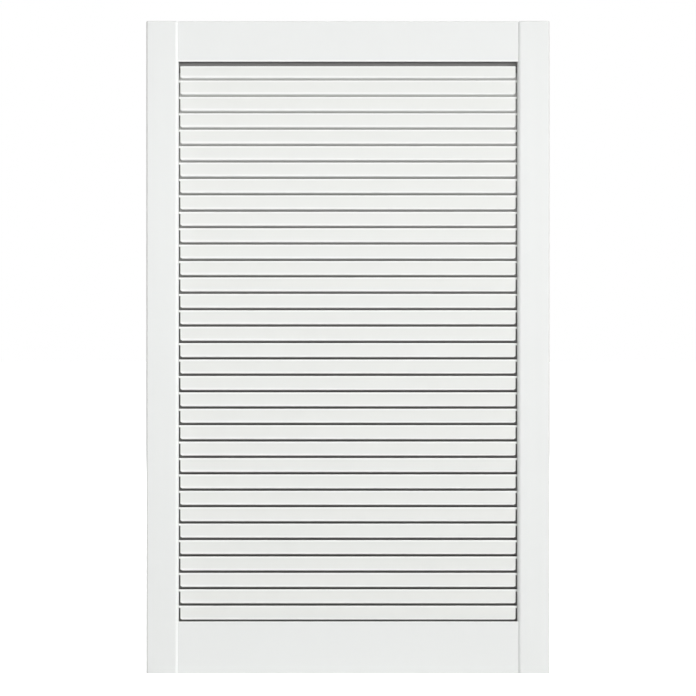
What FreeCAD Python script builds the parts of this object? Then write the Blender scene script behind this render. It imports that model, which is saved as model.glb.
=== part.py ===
import FreeCAD, Part
import os
import Sketcher

# Louvred door leaf: two stiles, two rails and a field of fixed slats that no line of sight passes
# X runs across the leaf from its hinge edge, Y from front to back about its middle plane, Z up from mid-height

# Driving dimensions, in millimetres except the count
SIZES = [
    ("door_width", 445, "overall width"),
    ("door_height", 720, "overall height"),
    ("stile_width", 35.5, "face width of each stile"),
    ("stile_thickness", 21, "front to back of each stile"),
    ("inner_round", 4.2, "radius of the stiles' inner arrises"),
    ("outer_ease", 1.8, "radius of the stiles' outer arrises"),
    ("rail_thickness", 18, "front to back of each rail"),
    ("top_rail_height", 44.6, "face height of the top rail"),
    ("bottom_rail_height", 57.6, "face height of the bottom rail"),
    ("rail_tenon_length", 24, "how far a rail's tenon enters the stile"),
    ("rail_tenon_thickness", 7, "front to back of a rail's tenon"),
    ("rail_tenon_shoulder", 10, "step above and below a rail's tenon"),
    ("tongue_thickness", 4, "front to back of the tongue under the top rail"),
    ("slat_count", 34, "number of slats"),
    ("slat_depth", 12.6, "front to back of a slat"),
    ("slat_dip", 3.6, "how far a slat's chevron section dips in its middle"),
    ("slat_edge_round", 0.8, "radius of a slat's long edges"),
    ("slat_gap", 1.9, "height of the air gap between neighbouring slats"),
    ("top_gap", 3.3, "height of the air gap under the top rail"),
    ("bottom_gap", 1.6, "height of the air gap over the bottom rail"),
    ("top_slat_rip", 2.3, "how much lower the first slat is, ripped at its head"),
    ("slat_tenon_length", 7.5, "how far a slat enters the stile"),
    ("slat_tenon_thickness", 5, "front to back of a slat's tenon"),
    ("slat_tenon_height", 7, "height of a slat's tenon"),
    ("slat_shoulder_gap", 0.15, "slat shoulder to stile"),
    ("slit_width", 1.6, "shadow slit at a slat's end, along the slat"),
    ("slit_depth", 3.6, "shadow slit, into the slat's face"),
    ("slit_stop", 3, "upper part of a slat's face that has no slit"),
    ("mortise_side_gap", 0.1, "clearance round a tenon in its mortise"),
    ("mortise_end_gap", 0.5, "clearance beyond a tenon's end"),
]

# Sizes worked out from the driving dimensions
FIELD = "(dims.door_height - dims.top_rail_height - dims.bottom_rail_height)"
SLAT_GAPS = "(dims.top_gap + dims.bottom_gap + (dims.slat_count - 1) * dims.slat_gap)"
SLAT_FACE = f"(({FIELD} + dims.top_slat_rip - {SLAT_GAPS}) / dims.slat_count)"
PITCH = f"({SLAT_FACE} + dims.slat_gap)"
OPENING = "(dims.door_width - 2 * dims.stile_width)"
TOP_RAIL_Z = "(dims.door_height / 2 - dims.top_rail_height)"
BOTTOM_RAIL_Z = "(-dims.door_height / 2)"
LAST_SLAT_Z = f"({BOTTOM_RAIL_Z} + dims.bottom_rail_height + dims.bottom_gap)"
TONGUE_DEPTH = "(dims.slat_dip + dims.top_gap - dims.slat_gap)"
SLAT_TENON_Z = f"(({SLAT_FACE} - dims.slat_dip) / 2)"

ROOT = (-1, 1)
START, END, CENTRE = range(1, 4)

doc = FreeCAD.newDocument("louvred_door")
sheet = doc.addObject("Spreadsheet::Sheet", "dims")
for row, (alias, value, meaning) in enumerate(SIZES, start=1):
    sheet.set(f"A{row}", meaning)
    sheet.set(f"B{row}", str(value))
    sheet.setAlias(f"B{row}", alias)
doc.recompute()


def size(expression):
    """The present value of an expression, as a plain number."""
    return float(sheet.evalExpression(f"({expression}) * 1"))


def point(x, y):
    return FreeCAD.Vector(x, y, 0)


def new_body(name):
    body = doc.addObject("PartDesign::Body", name)
    body.Label = name
    return body


def new_sketch(body, name, plane, x="0", y="0", out="0", turn="0 deg"):
    """A sketch on an origin plane, its own origin shifted in the plane, moved out of it and turned in it."""
    sketch = body.newObject("Sketcher::SketchObject", name)
    support = next(f for f in body.Origin.OriginFeatures if f.Role == plane)
    sketch.AttachmentSupport = [(support, "")]
    sketch.MapMode = "FlatFace"
    place = f"placement(vector({x}; {y}; {out}); rotation(vector(0; 0; 1); {turn}))"
    sketch.setExpression("AttachmentOffset", place)
    return sketch


def bind(sketch, expression, kind, *where):
    """Adds a dimension to a sketch and ties it to an expression."""
    index = sketch.addConstraint(Sketcher.Constraint(kind, *where, size(expression)))
    sketch.setExpression(f"Constraints[{index}]", expression)


def join_loop(sketch, loop, kind):
    """Joins each piece of a loop, end to start, to the next one."""
    for piece, following in zip(loop, loop[1:] + loop[:1]):
        sketch.addConstraint(Sketcher.Constraint(kind, piece, END, following, START))


def rectangle(sketch, width, height):
    """A rectangle centred on the sketch's origin."""
    half_w, half_h = size(width) / 2, size(height) / 2
    corners = [point(-half_w, -half_h), point(half_w, -half_h), point(half_w, half_h), point(-half_w, half_h)]
    loop = [
        sketch.addGeometry(Part.LineSegment(a, b))
        for a, b in zip(corners, corners[1:] + corners[:1])
    ]
    join_loop(sketch, loop, "Coincident")
    for line, kind in zip(loop, ("Horizontal", "Vertical") * 2):
        sketch.addConstraint(Sketcher.Constraint(kind, line))
    sketch.addConstraint(Sketcher.Constraint("Symmetric", loop[0], START, loop[2], START, *ROOT))
    bind(sketch, width, "DistanceX", loop[0], START, loop[0], END)
    bind(sketch, height, "DistanceY", loop[1], START, loop[1], END)


def chevron(sketch, depth, height, foot_dip=None, head_dip=None):
    """A band standing on the sketch's X axis about its Y axis; its foot and head may dip in the middle."""
    reach, top = size(depth) / 2, size(height)
    corners = {"front_foot": point(-reach, 0)}
    if foot_dip:
        corners["foot"] = point(0, -size(foot_dip))
    corners["back_foot"] = point(reach, 0)
    corners["back_head"] = point(reach, top)
    if head_dip:
        corners["head"] = point(0, top - size(head_dip))
    corners["front_head"] = point(-reach, top)

    names = list(corners)
    line = {}
    for name, following in zip(names, names[1:] + names[:1]):
        line[name] = sketch.addGeometry(Part.LineSegment(corners[name], corners[following]))
    join_loop(sketch, list(line.values()), "Coincident")
    for side in ("back_foot", "front_head"):
        sketch.addConstraint(Sketcher.Constraint("Vertical", line[side]))
    front_foot, back_foot = (line["front_foot"], START), (line["back_foot"], START)
    front_head, back_head = (line["front_head"], START), (line["back_head"], START)
    sketch.addConstraint(Sketcher.Constraint("Symmetric", *front_foot, *back_foot, -2))
    sketch.addConstraint(Sketcher.Constraint("PointOnObject", *front_foot, -1))
    sketch.addConstraint(Sketcher.Constraint("Horizontal", *front_head, *back_head))
    bind(sketch, depth, "DistanceX", *front_foot, *back_foot)
    bind(sketch, height, "DistanceY", *back_foot, *back_head)
    for name, dip, edge in (("foot", foot_dip, back_foot), ("head", head_dip, back_head)):
        if dip:
            sketch.addConstraint(Sketcher.Constraint("PointOnObject", line[name], START, -2))
            bind(sketch, dip, "DistanceY", line[name], START, *edge)


def pad(body, name, sketch, length, symmetric=False):
    feature = body.newObject("PartDesign::Pad", name)
    feature.Profile = sketch
    feature.SideType = "Symmetric" if symmetric else "One side"
    feature.setExpression("Length", length)
    return feature


def pocket(body, name, sketch, depth, symmetric=False, reverse=False):
    feature = body.newObject("PartDesign::Pocket", name)
    feature.Profile = sketch
    feature.SideType = "Symmetric" if symmetric else "One side"
    feature.Reversed = reverse
    feature.setExpression("Length", depth)
    return feature


def stile_section(sketch):
    """Stile in plan, from the corner at its outer edge and front face: small outer and larger inner rounds."""
    width, depth = size("dims.stile_width"), size("dims.stile_thickness")
    ease, inner = size("dims.outer_ease"), size("dims.inner_round")
    slope = 0.5 ** 0.5

    def corner(centre_x, centre_y, radius, to_x, to_y, start, end):
        middle = point(centre_x + to_x * radius * slope, centre_y + to_y * radius * slope)
        return sketch.addGeometry(Part.Arc(point(*start), middle, point(*end)))

    front = sketch.addGeometry(Part.LineSegment(point(ease, 0), point(width - inner, 0)))
    inner_front = corner(width - inner, inner, inner, 1, -1, (width - inner, 0), (width, inner))
    inside = sketch.addGeometry(Part.LineSegment(point(width, inner), point(width, depth - inner)))
    inner_back = corner(
        width - inner, depth - inner, inner, 1, 1, (width, depth - inner), (width - inner, depth)
    )
    back = sketch.addGeometry(Part.LineSegment(point(width - inner, depth), point(ease, depth)))
    outer_back = corner(ease, depth - ease, ease, -1, 1, (ease, depth), (0, depth - ease))
    outside = sketch.addGeometry(Part.LineSegment(point(0, depth - ease), point(0, ease)))
    outer_front = corner(ease, ease, ease, -1, -1, (0, ease), (ease, 0))
    join_loop(
        sketch,
        [front, inner_front, inside, inner_back, back, outer_back, outside, outer_front],
        "Tangent",
    )
    for line in (front, back):
        sketch.addConstraint(Sketcher.Constraint("Horizontal", line))
    for line in (inside, outside):
        sketch.addConstraint(Sketcher.Constraint("Vertical", line))
    sketch.addConstraint(Sketcher.Constraint("PointOnObject", front, START, -1))
    sketch.addConstraint(Sketcher.Constraint("PointOnObject", outside, START, -2))
    bind(sketch, "dims.stile_width", "DistanceX", *ROOT, inside, START)
    bind(sketch, "dims.stile_thickness", "DistanceY", *ROOT, back, START)
    for arc in (inner_front, inner_back):
        bind(sketch, "dims.inner_round", "Radius", arc)
    for arc in (outer_front, outer_back):
        bind(sketch, "dims.outer_ease", "Radius", arc)


def mortise(body, name, middle_z, thickness, height, length):
    """A blind pocket in the stile's inner face for a tenon, larger than it by the clearances."""
    sketch = new_sketch(body, f"{name}_outline", "YZ_Plane", y=middle_z, out="dims.stile_width")
    room = "2 * dims.mortise_side_gap"
    rectangle(sketch, f"{thickness} + {room}", f"{height} + {room}")
    return pocket(body, name, sketch, f"{length} + dims.mortise_end_gap")


def make_left_stile():
    body = new_body("left_stile")
    section = new_sketch(
        body, "stile_section", "XY_Plane", y="-dims.stile_thickness / 2", out="-dims.door_height / 2"
    )
    stile_section(section)
    pad(body, "stile_length", section, "dims.door_height")
    for rail, rail_z in (("top_rail", TOP_RAIL_Z), ("bottom_rail", BOTTOM_RAIL_Z)):
        height = f"dims.{rail}_height"
        mortise(
            body,
            f"{rail}_mortise",
            f"{rail_z} + {height} / 2",
            "dims.rail_tenon_thickness",
            f"{height} - 2 * dims.rail_tenon_shoulder",
            "dims.rail_tenon_length",
        )
    last = mortise(
        body,
        "last_slat_mortise",
        f"{LAST_SLAT_Z} + {SLAT_TENON_Z}",
        "dims.slat_tenon_thickness",
        "dims.slat_tenon_height",
        "dims.slat_tenon_length",
    )
    row = body.newObject("PartDesign::LinearPattern", "slat_mortises")
    row.Originals = [last]
    row.Direction = (next(f for f in body.Origin.OriginFeatures if f.Role == "Z_Axis"), [""])
    row.setExpression("Length", f"{PITCH} * (dims.slat_count - 1)")
    row.setExpression("Occurrences", "dims.slat_count")
    body.Tip = row
    return body


def make_right_stile(left_stile):
    """The left stile's mirror image about the leaf's middle."""
    stile = doc.addObject("Part::Mirroring", "right_stile")
    stile.Label = "right_stile"
    stile.Source = left_stile
    stile.Normal = FreeCAD.Vector(1, 0, 0)
    stile.setExpression("Base.x", "dims.door_width / 2")
    return stile


def make_rail(name, rail_z, head_dip=None):
    """A rail with its ends scribed to the stiles and a tenon at each end; its head may dip as the slats do."""
    body = new_body(name)
    height = f"dims.{name}_height"
    section = new_sketch(body, f"{name}_section", "YZ_Plane")
    chevron(section, "dims.rail_thickness", height, head_dip=head_dip)
    pad(body, f"{name}_length", section, f"{OPENING} + 2 * dims.inner_round", symmetric=True)

    # Cutting the stiles' own outline from the ends leaves lips that fit over their rounded arrises
    for side, corner_x, corner_y, turn in (
        ("left", "-dims.door_width / 2", "-dims.stile_thickness / 2", "0 deg"),
        ("right", "dims.door_width / 2", "dims.stile_thickness / 2", "180 deg"),
    ):
        scribe = new_sketch(body, f"{name}_{side}_scribe", "XY_Plane", x=corner_x, y=corner_y, turn=turn)
        stile_section(scribe)
        pocket(body, f"{name}_{side}_end", scribe, "2 * dims.door_height", symmetric=True)

    tenons = new_sketch(body, f"{name}_tenon_section", "YZ_Plane", y=f"{height} / 2")
    rectangle(tenons, "dims.rail_tenon_thickness", f"{height} - 2 * dims.rail_tenon_shoulder")
    pad(body, f"{name}_tenons", tenons, f"{OPENING} + 2 * dims.rail_tenon_length", symmetric=True)
    body.setExpression(
        "Placement", f"placement(vector(dims.door_width / 2; 0; {rail_z}); rotation(vector(0; 0; 1); 0 deg))"
    )
    return body


def add_tongue(rail):
    """A tongue under the top rail that dips into the first slat's hollow and closes the view between them."""
    section = new_sketch(rail, "tongue_section", "YZ_Plane", y=f"-{TONGUE_DEPTH} / 2")
    rectangle(section, "dims.tongue_thickness", TONGUE_DEPTH)
    pad(rail, "tongue", section, OPENING, symmetric=True)


def round_long_edges(body, name, bar):
    """Rounds the four edges that run along a bar at its front and back faces."""
    doc.recompute()
    reach = bar.Shape.BoundBox.YMax
    edges = []
    for number, edge in enumerate(bar.Shape.Edges, start=1):
        ends = [vertex.Point for vertex in edge.Vertexes]
        runs_along = abs(ends[0].x - ends[1].x) > reach
        if runs_along and all(abs(abs(end.y) - reach) < 1e-6 for end in ends):
            edges.append(f"Edge{number}")
    feature = body.newObject("PartDesign::Fillet", name)
    feature.Base = (bar, edges)
    feature.setExpression("Radius", "dims.slat_edge_round")
    return feature


def make_slat(number):
    """A slat of chevron section with stub tenons, its faces rebated beside them to a dark slit."""
    name = f"slat_{number:02d}"
    body = new_body(name)
    face = f"({SLAT_FACE} - dims.top_slat_rip)" if number == 1 else SLAT_FACE
    section = new_sketch(body, f"{name}_section", "YZ_Plane")
    chevron(section, "dims.slat_depth", face, "dims.slat_dip", "dims.slat_dip")
    bar = pad(body, f"{name}_length", section, f"{OPENING} - 2 * dims.slat_shoulder_gap", symmetric=True)
    round_long_edges(body, f"{name}_edges", bar)

    tenons = new_sketch(body, f"{name}_tenon_section", "YZ_Plane", y=SLAT_TENON_Z)
    rectangle(tenons, "dims.slat_tenon_thickness", "dims.slat_tenon_height")
    pad(body, f"{name}_tenons", tenons, f"{OPENING} + 2 * dims.slat_tenon_length", symmetric=True)

    slit_height = f"({face} + dims.slat_dip - dims.slit_stop)"
    slit_middle = f"({slit_height} / 2 - dims.slat_dip)"
    slit_x = f"({OPENING} / 2 - dims.slat_shoulder_gap - dims.slit_width / 2)"
    for end, sign in (("left", "-"), ("right", "")):
        for side, out, reverse in (("front", "", False), ("back", "-", True)):
            slit = new_sketch(
                body,
                f"{name}_{end}_{side}_slit",
                "XZ_Plane",
                x=f"{sign}{slit_x}",
                y=slit_middle,
                out=f"{out}dims.slat_depth / 2",
            )
            rectangle(slit, "dims.slit_width", slit_height)
            pocket(body, f"{name}_{end}_{side}_rebate", slit, "dims.slit_depth", reverse=reverse)

    steps_up = f"(dims.slat_count - {number})"
    body.setExpression(
        "Placement",
        f"placement(vector(dims.door_width / 2; 0; {LAST_SLAT_Z} + {PITCH} * {steps_up});"
        " rotation(vector(0; 0; 1); 0 deg))",
    )
    return body


left_stile = make_left_stile()
right_stile = make_right_stile(left_stile)
top_rail = make_rail("top_rail", TOP_RAIL_Z)
add_tongue(top_rail)
bottom_rail = make_rail("bottom_rail", BOTTOM_RAIL_Z, head_dip="dims.slat_dip")
parts = [left_stile, right_stile, top_rail, bottom_rail]
parts += [make_slat(number) for number in range(1, round(size("dims.slat_count")) + 1)]
doc.recompute()

for thing in doc.Objects:
    if {"Invalid", "Error"} & set(thing.State):
        raise RuntimeError(f"{thing.Label} did not compute: {thing.State}")
for part in parts:
    if part.Shape.isNull() or not part.Shape.isValid() or len(part.Shape.Solids) != 1:
        raise RuntimeError(f"{part.Label} is not one valid solid")

os.makedirs("parts", exist_ok=True)
for part in parts:
    part.Shape.exportStep(f"parts/{part.Label}.step")
    print(f"{part.Label}: {part.Shape.Volume:.1f} mm3")
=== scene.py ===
import math

import bmesh
import bpy
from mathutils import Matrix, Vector


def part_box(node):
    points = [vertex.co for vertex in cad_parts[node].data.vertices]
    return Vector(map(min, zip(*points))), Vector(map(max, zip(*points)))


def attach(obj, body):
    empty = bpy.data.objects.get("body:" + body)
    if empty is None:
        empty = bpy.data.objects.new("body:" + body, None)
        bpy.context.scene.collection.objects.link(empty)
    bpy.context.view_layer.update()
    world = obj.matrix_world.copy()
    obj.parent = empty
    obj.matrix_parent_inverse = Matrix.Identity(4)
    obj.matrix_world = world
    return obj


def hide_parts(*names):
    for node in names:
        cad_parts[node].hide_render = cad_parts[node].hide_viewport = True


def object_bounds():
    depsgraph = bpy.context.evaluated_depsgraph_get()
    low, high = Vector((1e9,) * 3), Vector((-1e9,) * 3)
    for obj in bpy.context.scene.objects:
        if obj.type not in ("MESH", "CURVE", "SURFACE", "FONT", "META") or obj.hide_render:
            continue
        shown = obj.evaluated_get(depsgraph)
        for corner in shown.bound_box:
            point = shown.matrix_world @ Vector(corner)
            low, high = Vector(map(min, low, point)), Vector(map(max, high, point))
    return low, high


# White lacquered louvred door leaf: stiles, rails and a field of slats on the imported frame
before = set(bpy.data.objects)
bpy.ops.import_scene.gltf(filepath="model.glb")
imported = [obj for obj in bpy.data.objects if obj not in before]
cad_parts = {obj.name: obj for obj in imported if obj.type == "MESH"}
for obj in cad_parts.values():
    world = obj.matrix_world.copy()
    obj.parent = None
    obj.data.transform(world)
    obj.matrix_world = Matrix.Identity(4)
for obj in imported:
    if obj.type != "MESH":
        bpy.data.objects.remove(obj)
cad_low, cad_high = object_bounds()
MM = 0.001

# Sizes of the leaf, taken from the frame where it holds them
SLAT_NODES = sorted(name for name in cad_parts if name.startswith("slat_"))
STILE_LOW, STILE_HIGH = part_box("left_stile")
RAIL_LOW, RAIL_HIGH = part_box("bottom_rail")
TOP_RAIL_LOW, TOP_RAIL_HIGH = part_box("top_rail")
LAST_SLAT_LOW, LAST_SLAT_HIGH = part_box(SLAT_NODES[-1])
TOP_SLAT_LOW, TOP_SLAT_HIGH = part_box(SLAT_NODES[0])
DOOR_WIDTH = cad_high.x - cad_low.x
STILE_WIDTH = STILE_HIGH.x
STILE_REACH = STILE_HIGH.y
RAIL_REACH = RAIL_HIGH.y
SLAT_REACH = LAST_SLAT_HIGH.y
PITCH = (TOP_SLAT_LOW.z - LAST_SLAT_LOW.z) / (len(SLAT_NODES) - 1)
SLAT_DIP = 3.6 * MM
SLAT_FACE = LAST_SLAT_HIGH.z - LAST_SLAT_LOW.z - SLAT_DIP
TOP_SLAT_FACE = TOP_SLAT_HIGH.z - TOP_SLAT_LOW.z - SLAT_DIP
LAST_SLAT_Z = LAST_SLAT_LOW.z + SLAT_DIP
TOP_SLAT_Z = TOP_SLAT_LOW.z + SLAT_DIP
TONGUE_REACH = 2 * MM
TONGUE_DROP = 5 * MM
TONGUE_FOOT = TOP_RAIL_LOW.z
TOP_RAIL_FOOT = TONGUE_FOOT + TONGUE_DROP

# Rounds and eased edges
SLAT_HEAD_ROUND = 0.8 * MM
SLAT_FOOT_ROUND = 1.4 * MM
CORNER_ROUND = 1.6 * MM
CORNER_STEPS = 6
INNER_ROUND = 4.2 * MM
OUTER_EASE = 1.8 * MM
END_EASE = 0.5 * MM
RAIL_EASE = 0.7 * MM
SOFT_EDGE = 0.25 * MM

# Slits at the slats' ends, and how far a cut runs past the wood
SHOULDER_GAP = 0.15 * MM
SLIT_WIDTH = 1.6 * MM
SLIT_DEPTH = 3.6 * MM
SLIT_STOP = 3 * MM
CUT_PAST = 1 * MM
SLIT_RUN_OUT = -CUT_PAST

# Rails are scribed in short steps, from just inside the depth where the stiles' arrises begin to round
SCRIBE_STEP = 0.35 * MM
SCRIBE_FROM = 6 * MM

# A painted highlight lies on points this near to an edge, and fades out over the rim beside it
HIGHLIGHT_RIM = 2 * MM
RAIL_HIGHLIGHT_NEAR = RAIL_EASE + 0.1 * MM
SLAT_HIGHLIGHT_NEAR = 1.5 * MM

# Colours
WHITE = (0.841, 0.854, 0.843)
SLAT_WHITE = (0.832, 0.842, 0.816)
# Painted highlight along the rails' and slats' edges
HIGHLIGHT_WHITE = (0.96, 0.965, 0.955)
# Painted shade on the leaf's outer arrises
ARRIS_SHADE = (0.66, 0.66, 0.64)
# Painted shade in the gaps: full between slats and stiles, lighter under the bottom rail, deepest under the
# top rail
GAP_SHADE = (0.255, 0.252, 0.245)
LIGHT_GAP_SHADE = (0.45, 0.445, 0.43)
DEEP_GAP_SHADE = (0.22, 0.217, 0.21)
FLOOR_GREY = (0.85, 0.85, 0.85)
FULL_WHITE = (1, 1, 1, 1)

# Lacquer: how the grain is drawn out, how far the slats' patterns lie apart, and where painted shade lies on
# the outer arrises and in the gaps
GRAIN_STRETCH = {"x": (0.035, 1, 1), "z": (1, 1, 0.035)}
PATTERN_SHIFT = (3.1, 1.7, 2.3)
PORE_SHADE = 0.99
PORE_SHARE = 0.45
NOISE_LOW, NOISE_HIGH = 0.3, 0.7
THIN_PATCH = 0.8
ARRIS_SHADE_FULL_AT = 0.4
# Heights from which the painted shade is full again under the top rail
UNDER_RAIL_SHADE_FROM = TOP_SLAT_LOW.z + 8 * MM
UNDER_RAIL_SHADE_FULL = TOP_SLAT_LOW.z + 10 * MM
SATIN, DULL = 0.36, 0.48
GRAIN_RELIEF = 0.05 * MM
PEEL_RELIEF = 0.04 * MM

# Limits of the painted shade in the gaps, about the leaf's middle: axis, distance and the width over which
# the shade fades
FIELD_HEIGHT = ("Z", TOP_RAIL_FOOT + 0.8 * MM, 0.6 * MM)
INNER_FACE = ("X", DOOR_WIDTH / 2 - STILE_WIDTH + 0.2 * MM, 0.15 * MM)
BESIDE_SLATS = ("Y", SLAT_REACH + 0.3 * MM, 0.4 * MM)
INSIDE_RAILS = ("Y", RAIL_REACH - 0.3 * MM, 1 * MM)
INSIDE_SLATS = ("Y", SLAT_REACH - 0.3 * MM, 1 * MM)

# White room: how far its floor runs to each side, what lifts the floor to white, and its light on the leaf
FLOOR_REACH = 40
FLOOR_LIFT = 0.84
ROOM_FILL = 0.106

# Camera: how far it stands from the front, and the width and drop of what it frames
DISTANCE = 1.8
FRAME_WIDTH = 0.7676
FRAME_DROP = 0.77 * MM
SENSOR = 36

scene = bpy.context.scene
scene.view_settings.view_transform = "Standard"


# Materials

class Tree:
    """Short ways to build a node tree. Nodes are fed plain values or the sockets of other nodes."""

    def __init__(self, tree):
        self.tree = tree

    def feed(self, node, feeds):
        """Feeds a node's sockets, by name or by place."""
        for socket, value in dict(feeds).items():
            if isinstance(value, bpy.types.NodeSocket):
                self.tree.links.new(value, node.inputs[socket])
            else:
                node.inputs[socket].default_value = value

    def add(self, kind, feeds=(), **settings):
        node = self.tree.nodes.new(kind)
        for key, value in settings.items():
            setattr(node, key, value)
        self.feed(node, feeds)
        return node

    def maths(self, operation, *values):
        return self.add("ShaderNodeMath", enumerate(values), operation=operation).outputs[0]

    def vector(self, operation, *values):
        return self.add("ShaderNodeVectorMath", enumerate(values), operation=operation).outputs["Vector"]

    def length(self, vector):
        return self.add("ShaderNodeVectorMath", {0: vector}, operation="LENGTH").outputs["Value"]

    def ramp(self, value, start, end, low=0, high=1):
        """Low up to the start, high from the end on, and evenly from one to the other between them."""
        feeds = {"Value": value, "From Min": start, "From Max": end, "To Min": low, "To Max": high}
        return self.add("ShaderNodeMapRange", feeds).outputs["Result"]

    def noise(self, vector, scale, detail, roughness=0.5):
        feeds = {"Vector": vector, "Scale": scale, "Detail": detail, "Roughness": roughness}
        return self.add("ShaderNodeTexNoise", feeds).outputs["Fac"]

    def mark(self, name):
        """A number that the piece's mesh holds under this name."""
        return self.add("ShaderNodeAttribute", attribute_name=name).outputs["Fac"]

    def mix(self, share, under, over):
        feeds = {"Factor": share, "A": under, "B": over}
        return self.add("ShaderNodeMix", feeds, data_type="RGBA").outputs["Result"]

    def looked_at(self):
        """1 where the camera, a reflection or glass looks, and 0 where light falls on the leaf."""
        ray = self.add("ShaderNodeLightPath").outputs
        seen_or_mirrored = self.maths("MAXIMUM", ray["Is Camera Ray"], ray["Is Glossy Ray"])
        return self.maths("MAXIMUM", seen_or_mirrored, ray["Is Transmission Ray"])


def new_material(name):
    """A material, its tree and its shader."""
    material = bpy.data.materials.new(name)
    material.use_nodes = True
    return material, Tree(material.node_tree), material.node_tree.nodes["Principled BSDF"]


def shade_outer_arrises(tree, finish, away_on, height, reach, thickness):
    """Paints shade on the leaf's outer arrises, at the piece's reach to the front and back."""
    spot = tree.add("ShaderNodeCombineXYZ", {"X": away_on["X"], "Y": away_on["Y"], "Z": height})
    from_corner = tree.vector("SUBTRACT", spot.outputs[0], (DOOR_WIDTH / 2, reach, cad_high.z))
    for across, ease in (((1, 1, 0), OUTER_EASE), ((0, 1, 1), RAIL_EASE)):
        from_arris = tree.length(tree.vector("MULTIPLY", from_corner, across))
        arris_shaded = tree.ramp(from_arris, ease, ease * ARRIS_SHADE_FULL_AT)
        finish = tree.mix(tree.maths("MULTIPLY", arris_shaded, thickness), finish, (*ARRIS_SHADE, 1))
    return finish


def gap_shade_share(tree, away_on, height, shade_limits, at_top):
    """How much painted shade lies at a point inside the limits.

    From mid-height up it thins out to its share at the top slat's foot, and it is full again under the top
    rail.
    """
    by_height = tree.ramp(height, 0, TOP_SLAT_LOW.z, low=1, high=at_top)
    under_rail = tree.ramp(height, UNDER_RAIL_SHADE_FROM, UNDER_RAIL_SHADE_FULL)
    shade_amount = tree.maths("MAXIMUM", by_height, under_rail)
    for axis, limit, fade in shade_limits:
        shade_amount = tree.maths("MULTIPLY", shade_amount, tree.ramp(away_on[axis], limit, limit - fade))
    return shade_amount


def lacquer(name, colour, grain_along, reach, shade_limits, shade_colour, shade_at_top=1):
    """White satin lacquer over faint grain, with a painted highlight on the edges, painted shade on the
    outer arrises and painted shade in the gaps.
    """
    material, tree, shader = new_material(name)
    place = tree.add("ShaderNodeTexCoord").outputs["Object"]
    apart = tree.vector("MULTIPLY_ADD", tree.mark("slat_tone"), PATTERN_SHIFT, place)
    from_middle = tree.vector("SUBTRACT", place, (DOOR_WIDTH / 2, 0, 0))
    away_on = tree.add("ShaderNodeSeparateXYZ", {0: tree.vector("ABSOLUTE", from_middle)}).outputs
    height = tree.add("ShaderNodeSeparateXYZ", {0: place}).outputs["Z"]

    along = tree.add("ShaderNodeMapping", {"Scale": GRAIN_STRETCH[grain_along], "Vector": apart})
    grain = tree.noise(along.outputs[0], scale=900, detail=4, roughness=0.6)
    cloud = tree.noise(apart, scale=14, detail=3)
    patches = tree.noise(apart, scale=60, detail=5)
    peel = tree.noise(place, scale=1400, detail=2)

    pores = tree.ramp(grain, NOISE_LOW, NOISE_HIGH)
    deep = tuple(value * PORE_SHADE for value in colour)
    tone = tree.mix(tree.maths("MULTIPLY_ADD", pores, PORE_SHARE, cloud), (*deep, 1), (*colour, 1))
    thickness = tree.ramp(patches, NOISE_LOW, NOISE_HIGH, low=THIN_PATCH)
    # Painted highlight along the edges, stronger where the lacquer is thick
    highlight = tree.maths("MULTIPLY", tree.mark("painted_highlight"), thickness)
    finish = tree.mix(highlight, tone, (*HIGHLIGHT_WHITE, 1))
    # Painted shade on the outer arrises
    finish = shade_outer_arrises(tree, finish, away_on, height, reach, thickness)
    # Painted shade in the gaps, thinning upwards and full again under the top rail
    shade_amount = gap_shade_share(tree, away_on, height, shade_limits, shade_at_top)

    raised = tree.add("ShaderNodeBump", {"Strength": 0.3, "Distance": GRAIN_RELIEF, "Height": grain})
    rippled = tree.add("ShaderNodeBump", {
        "Strength": 0.25,
        "Distance": PEEL_RELIEF,
        "Height": peel,
        "Normal": raised.outputs["Normal"],
    })
    tree.feed(shader, {
        "Base Color": tree.mix(shade_amount, finish, (*shade_colour, 1)),
        "Roughness": tree.ramp(cloud, 0, 1, low=SATIN, high=DULL),
        "Normal": rippled.outputs["Normal"],
        "IOR": 1.48,
        "Specular IOR Level": 0.3,
    })
    return material


def pale_floor(name, colour):
    """A matt floor that takes the leaf's shadow, and that the camera sees as white in the light."""
    material, tree, shader = new_material(name)
    tree.feed(shader, {
        "Base Color": (*colour, 1),
        "Roughness": 0.9,
        "Specular IOR Level": 0.1,
        "Emission Color": FULL_WHITE,
        "Emission Strength": tree.maths("MULTIPLY", tree.looked_at(), FLOOR_LIFT),
    })
    return material


# Limits of the painted shade in the stiles' and rails' gaps
STILE_SHADE_LIMITS = [INNER_FACE, BESIDE_SLATS, FIELD_HEIGHT]
RAIL_SHADE_LIMITS = [INSIDE_RAILS, FIELD_HEIGHT]
STILE_LACQUER = lacquer("stile_lacquer", WHITE, "z", STILE_REACH, STILE_SHADE_LIMITS, GAP_SHADE)
TOP_RAIL_LACQUER = lacquer("top_rail_lacquer", WHITE, "x", RAIL_REACH, RAIL_SHADE_LIMITS, DEEP_GAP_SHADE)
BOTTOM_RAIL_LACQUER = lacquer("bottom_rail_lacquer", WHITE, "x", RAIL_REACH, RAIL_SHADE_LIMITS, LIGHT_GAP_SHADE)
SLAT_LACQUER = lacquer(
    "slat_lacquer", SLAT_WHITE, "x", SLAT_REACH, [INSIDE_SLATS], GAP_SHADE, shade_at_top=0.25
)


# Shapes

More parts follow.
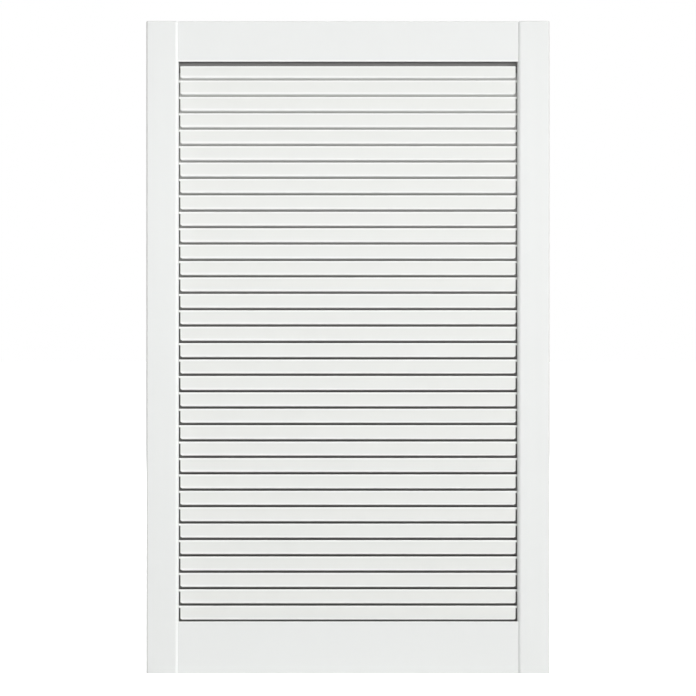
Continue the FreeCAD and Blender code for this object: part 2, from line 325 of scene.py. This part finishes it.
def eased(corners, steps=6, rim=0):
    """A closed outline from (a, b, radius) corners, with a point where each rim beside a round ends."""
    outline = []
    count = len(corners)
    for index, (a, b, radius) in enumerate(corners):
        here = Vector((a, b))
        if not radius:
            outline.append(here)
            continue
        before = (Vector(corners[index - 1][:2]) - here).normalized()
        after = (Vector(corners[(index + 1) % count][:2]) - here).normalized()
        half = before.angle(after) / 2
        centre = here + (before + after).normalized() * (radius / math.sin(half))
        start = here + before * (radius / math.tan(half)) - centre
        end = here + after * (radius / math.tan(half)) - centre
        turn = start.angle_signed(end)
        if rim:
            outline.append(centre + start + before * rim)
        for step in range(steps + 1):
            swing = -turn * step / steps
            cos, sin = math.cos(swing), math.sin(swing)
            turned = Vector((start.x * cos - start.y * sin, start.x * sin + start.y * cos))
            outline.append(centre + turned)
        if rim:
            outline.append(centre + end + after * rim)
    return outline


def add_object(name, data):
    """An object in the scene that shows this mesh, light or camera."""
    added = bpy.data.objects.new(name, data)
    scene.collection.objects.link(added)
    return added


def smooth(mesh, smooth_below):
    """Shades a mesh smooth except at edges sharper than the angle."""
    mesh.shade_smooth()
    mesh.set_sharp_from_angle(angle=math.radians(smooth_below))


def mesh_object(name, work, smooth_below=40):
    """An object from a bmesh, its faces outward."""
    bmesh.ops.recalc_face_normals(work, faces=work.faces)
    mesh = bpy.data.meshes.new(name)
    work.to_mesh(mesh)
    work.free()
    smooth(mesh, smooth_below)
    return add_object(name, mesh)


def lofted(*runs):
    """A bmesh of closed lofts, each through its own run of rings of points."""
    work = bmesh.new()
    for rings in runs:
        loops = [[work.verts.new(point) for point in ring] for ring in rings]
        for loop, following in zip(loops, loops[1:]):
            for index in range(len(loop)):
                after = (index + 1) % len(loop)
                work.faces.new((loop[index], loop[after], following[after], following[index]))
        work.faces.new(loops[0])
        work.faces.new(loops[-1])
    return work


def settled(piece):
    """The piece with its modifiers worked into its mesh."""
    evaluated = piece.evaluated_get(bpy.context.evaluated_depsgraph_get())
    mesh = bpy.data.meshes.new_from_object(evaluated)
    piece.modifiers.clear()
    piece.data = mesh
    return piece


def paint_edge_highlight(piece, heights, near):
    """Marks the points near the edges at these heights for a painted highlight, which fades out past them.
    """
    mark = piece.data.attributes.new("painted_highlight", "FLOAT", "POINT")
    for vert, share in zip(piece.data.vertices, mark.data):
        share.value = any(abs(vert.co.z - height) < near for height in heights)


def make_stile(name, outer_x, inward):
    """A stile with eased outer and rounded inner arrises, its ends lightly eased."""
    inner_x = outer_x + inward * STILE_WIDTH
    outline = eased([
        (outer_x, -STILE_REACH, OUTER_EASE),
        (inner_x, -STILE_REACH, INNER_ROUND),
        (inner_x, STILE_REACH, INNER_ROUND),
        (outer_x, STILE_REACH, OUTER_EASE),
    ], steps=10, rim=HIGHLIGHT_RIM)
    middle = Vector((outer_x + inward * STILE_WIDTH / 2, 0))
    rings = []
    for z, draw_in in (
        (STILE_LOW.z, END_EASE),
        (STILE_LOW.z + END_EASE, 0),
        (STILE_HIGH.z - END_EASE, 0),
        (STILE_HIGH.z, END_EASE),
    ):
        ring = []
        for spot in outline:
            toward = middle - spot
            pull = Vector([math.copysign(min(abs(way), draw_in), way) for way in toward])
            ring.append((spot.x + pull.x, spot.y + pull.y, z))
        rings.append(ring)
    return mesh_object(name, lofted(rings), smooth_below=30)


def shoulder_x(y):
    """Where a rail's end meets the left stile at a depth: its inner face, or its rounded arris."""
    past = abs(y) - (STILE_REACH - INNER_ROUND)
    if past <= 0:
        return STILE_WIDTH
    return STILE_WIDTH - INNER_ROUND + math.sqrt(max(INNER_ROUND ** 2 - past ** 2, 0))


def make_rail(name, field_edge, corners):
    """A rail from its section, each end scribed over the stiles' rounded arrises."""
    outline = eased(corners, rim=HIGHLIGHT_RIM)
    fine = []
    for spot, following in zip(outline, outline[1:] + outline[:1]):
        scribed = max(abs(spot.x), abs(following.x)) > SCRIBE_FROM
        cuts = max(1, math.ceil(abs(following.x - spot.x) / SCRIBE_STEP)) if scribed else 1
        fine += [spot.lerp(following, cut / cuts) for cut in range(cuts)]
    left = [(shoulder_x(spot.x), spot.x, spot.y) for spot in fine]
    right = [(DOOR_WIDTH - x, y, z) for x, y, z in left]
    rail = mesh_object(name, lofted([left, right]))
    # Painted highlight along the rail's edge at the field
    paint_edge_highlight(rail, [field_edge], RAIL_HIGHLIGHT_NEAR)
    return rail


def slat_blank(name, face, slit_stop):
    """One slat at height zero: chevron bar, rounded long edges, a slit in each end of both faces."""
    outline = eased([
        (-SLAT_REACH, 0, SLAT_FOOT_ROUND),
        (0, -SLAT_DIP, 0),
        (SLAT_REACH, 0, SLAT_FOOT_ROUND),
        (SLAT_REACH, face, SLAT_HEAD_ROUND),
        (0, face - SLAT_DIP, 0),
        (-SLAT_REACH, face, SLAT_HEAD_ROUND),
    ], steps=8, rim=HIGHLIGHT_RIM)
    near, far = STILE_WIDTH + SHOULDER_GAP, DOOR_WIDTH - STILE_WIDTH - SHOULDER_GAP
    bar = mesh_object(name, lofted([[(x, spot.x, spot.y) for spot in outline] for x in (near, far)]))

    # The slit's outline from the shoulder, widened below to round the slat's lower corner
    below, above = -SLAT_DIP - CUT_PAST, face - slit_stop
    slit = [(-CUT_PAST, below), (SLIT_WIDTH + CORNER_ROUND, below)]
    for step in range(CORNER_STEPS + 1):
        swing = math.radians(-90 - 90 * step / CORNER_STEPS)
        out, up = CORNER_ROUND * (1 + math.cos(swing)), CORNER_ROUND * (1 + math.sin(swing))
        slit.append((SLIT_WIDTH + out, up))
    slit += [(SLIT_WIDTH, above), (-CUT_PAST, above)]
    slits = []
    for shoulder, inward in ((near, 1), (far, -1)):
        for side in (-1, 1):
            depths = (side * (SLAT_REACH - SLIT_DEPTH), side * (SLAT_REACH + CUT_PAST))
            slits.append([[(shoulder + inward * x, y, z) for x, z in slit] for y in depths])
    cutter = mesh_object("slit_cutter", lofted(*slits))
    cut = bar.modifiers.new("slits", "BOOLEAN")
    cut.operation = "DIFFERENCE"
    cut.solver = "EXACT"
    cut.object = cutter
    soft = bar.modifiers.new("soft_edges", "BEVEL")
    soft.width = SOFT_EDGE
    soft.segments = 2
    soft.limit_method = "ANGLE"
    soft.angle_limit = math.radians(50)
    settled(bar)
    bpy.data.objects.remove(cutter)
    smooth(bar.data, smooth_below=18)
    # Painted highlight along the slat's foot and head edges
    paint_edge_highlight(bar, [0, face], SLAT_HIGHLIGHT_NEAR)
    return bar


def slat_field_tree():
    """Repeats a slat up the leaf, gives each copy its own tone number and sets its lacquer."""
    group = bpy.data.node_groups.new("slat_field", "GeometryNodeTree")
    group.is_modifier = True
    sockets = {}
    for label, kind in (
        ("Slat", "NodeSocketGeometry"),
        ("Slat Count", "NodeSocketInt"),
        ("Pitch", "NodeSocketFloat"),
        ("Lowest Slat Height", "NodeSocketFloat"),
        ("Tone Seed", "NodeSocketInt"),
        ("Lacquer", "NodeSocketMaterial"),
    ):
        sockets[label] = group.interface.new_socket(label, in_out="INPUT", socket_type=kind).identifier
    group.interface.new_socket("Slats", in_out="OUTPUT", socket_type="NodeSocketGeometry")
    tree = Tree(group)
    given = tree.add("NodeGroupInput").outputs
    start = tree.add("ShaderNodeCombineXYZ", {"Z": given["Lowest Slat Height"]}).outputs[0]
    step = tree.add("ShaderNodeCombineXYZ", {"Z": given["Pitch"]}).outputs[0]
    line = tree.add("GeometryNodeMeshLine", {
        "Count": given["Slat Count"],
        "Start Location": start,
        "Offset": step,
    }, mode="OFFSET")
    copies = tree.add("GeometryNodeInstanceOnPoints", {
        "Points": line.outputs["Mesh"],
        "Instance": given["Slat"],
    })
    index = tree.add("GeometryNodeInputIndex").outputs[0]
    tone = tree.add("FunctionNodeRandomValue", {"ID": index, "Seed": given["Tone Seed"]}, data_type="FLOAT")
    numbered = tree.add("GeometryNodeStoreNamedAttribute", {
        "Name": "slat_tone",
        "Geometry": copies.outputs["Instances"],
        "Value": next(out for out in tone.outputs if out.enabled),
    }, data_type="FLOAT", domain="INSTANCE")
    real = tree.add("GeometryNodeRealizeInstances", {"Geometry": numbered.outputs["Geometry"]})
    coat = tree.add("GeometryNodeSetMaterial", {
        "Geometry": real.outputs["Geometry"],
        "Material": given["Lacquer"],
    })
    tree.add("NodeGroupOutput", {"Slats": coat.outputs["Geometry"]})
    return group, sockets


SLAT_FIELD, SLAT_SOCKETS = slat_field_tree()


def make_slats(name, face, slit_stop, count, lowest_z, seed):
    """A run of like slats, counted up from the lowest."""
    slats = slat_blank(name, face, slit_stop)
    field = slats.modifiers.new("slat_field", "NODES")
    field.node_group = SLAT_FIELD
    field[SLAT_SOCKETS["Slat Count"]] = count
    field[SLAT_SOCKETS["Pitch"]] = PITCH
    field[SLAT_SOCKETS["Lowest Slat Height"]] = lowest_z
    field[SLAT_SOCKETS["Tone Seed"]] = seed
    field[SLAT_SOCKETS["Lacquer"]] = SLAT_LACQUER
    return settled(slats)


def fit(piece, material, slot, *nodes):
    """Finishes a piece: its lacquer, the body it rides on and the nodes it stands for. Its slot is not used.
    """
    if material:
        piece.data.materials.clear()
        piece.data.materials.append(material)
    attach(piece, "root")
    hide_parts(*nodes)


fit(make_stile("stile_left", 0, 1), STILE_LACQUER, "frame_lacquer", "left_stile")
fit(make_stile("stile_right", DOOR_WIDTH, -1), STILE_LACQUER, "frame_lacquer", "right_stile")
fit(
    make_rail("rail_top", TOP_RAIL_FOOT, [
        (-RAIL_REACH, TOP_RAIL_FOOT, RAIL_EASE),
        (-TONGUE_REACH, TOP_RAIL_FOOT, 0),
        (-TONGUE_REACH, TONGUE_FOOT, RAIL_EASE),
        (TONGUE_REACH, TONGUE_FOOT, RAIL_EASE),
        (TONGUE_REACH, TOP_RAIL_FOOT, 0),
        (RAIL_REACH, TOP_RAIL_FOOT, RAIL_EASE),
        (RAIL_REACH, TOP_RAIL_HIGH.z, RAIL_EASE),
        (-RAIL_REACH, TOP_RAIL_HIGH.z, RAIL_EASE),
    ]),
    TOP_RAIL_LACQUER, "frame_lacquer", "top_rail",
)
fit(
    make_rail("rail_bottom", RAIL_HIGH.z, [
        (-RAIL_REACH, RAIL_LOW.z, RAIL_EASE),
        (RAIL_REACH, RAIL_LOW.z, RAIL_EASE),
        (RAIL_REACH, RAIL_HIGH.z, RAIL_EASE),
        (0, RAIL_HIGH.z - SLAT_DIP, 0),
        (-RAIL_REACH, RAIL_HIGH.z, RAIL_EASE),
    ]),
    BOTTOM_RAIL_LACQUER, "frame_lacquer", "bottom_rail",
)
fit(
    make_slats("slats", SLAT_FACE, SLIT_STOP, len(SLAT_NODES) - 1, LAST_SLAT_Z, seed=7),
    None, "slat_lacquer", *SLAT_NODES[1:],
)
fit(
    make_slats("top_slat", TOP_SLAT_FACE, SLIT_RUN_OUT, 1, TOP_SLAT_Z, seed=19),
    None, "slat_lacquer", SLAT_NODES[0],
)

# Floor, light and camera
plain = bmesh.new()
bmesh.ops.create_grid(plain, x_segments=1, y_segments=1, size=FLOOR_REACH)
floor = mesh_object("floor", plain)
floor.location = (DOOR_WIDTH / 2, 0, cad_low.z)
floor.data.materials.append(pale_floor("pale_floor", FLOOR_GREY))

world = bpy.data.worlds.new("white_room")
scene.world = world
world.use_nodes = True
room = Tree(world.node_tree)
room.feed(world.node_tree.nodes["Background"], {
    "Strength": room.ramp(room.looked_at(), 0, 1, low=ROOM_FILL, high=1),
    "Color": FULL_WHITE,
})

MIDDLE = Vector((DOOR_WIDTH / 2, -STILE_REACH, 0))


def softbox(name, from_middle, width, height, watts):
    """A soft light that is aimed at the middle of the leaf's front."""
    light = bpy.data.lights.new(name, "AREA")
    light.shape = "RECTANGLE"
    light.size = width
    light.size_y = height
    light.energy = watts
    spot = MIDDLE + Vector(from_middle)
    lamp = add_object(name, light)
    lamp.location = spot
    lamp.rotation_euler = (MIDDLE - spot).to_track_quat("-Z", "Y").to_euler()


def far_softbox(name, azimuth, elevation, spread, strength):
    """A distant soft light from the right of the front, so that it falls evenly over the leaf."""
    light = bpy.data.lights.new(name, "SUN")
    light.energy = strength
    light.angle = math.radians(spread)
    lamp = add_object(name, light)
    lamp.rotation_euler = (math.radians(90 - elevation), 0, math.radians(azimuth))


far_softbox("key", azimuth=48, elevation=12, spread=14, strength=1.4)
softbox("strip", (0.1, -1.0, 0.35), width=3.0, height=0.3, watts=8.3)
softbox("top_fill", (0, -0.5, 2.4), width=1.2, height=1.2, watts=10.6)
softbox("back_fill", (0.3, 2.8, 1.6), width=1.2, height=1.2, watts=68)

lens = bpy.data.cameras.new("camera")
lens.sensor_width = SENSOR
lens.lens = SENSOR * DISTANCE / FRAME_WIDTH
camera = add_object("camera", lens)
camera.location = MIDDLE + Vector((0, -DISTANCE, -FRAME_DROP))
camera.rotation_euler = (math.pi / 2, 0, 0)
scene.camera = camera
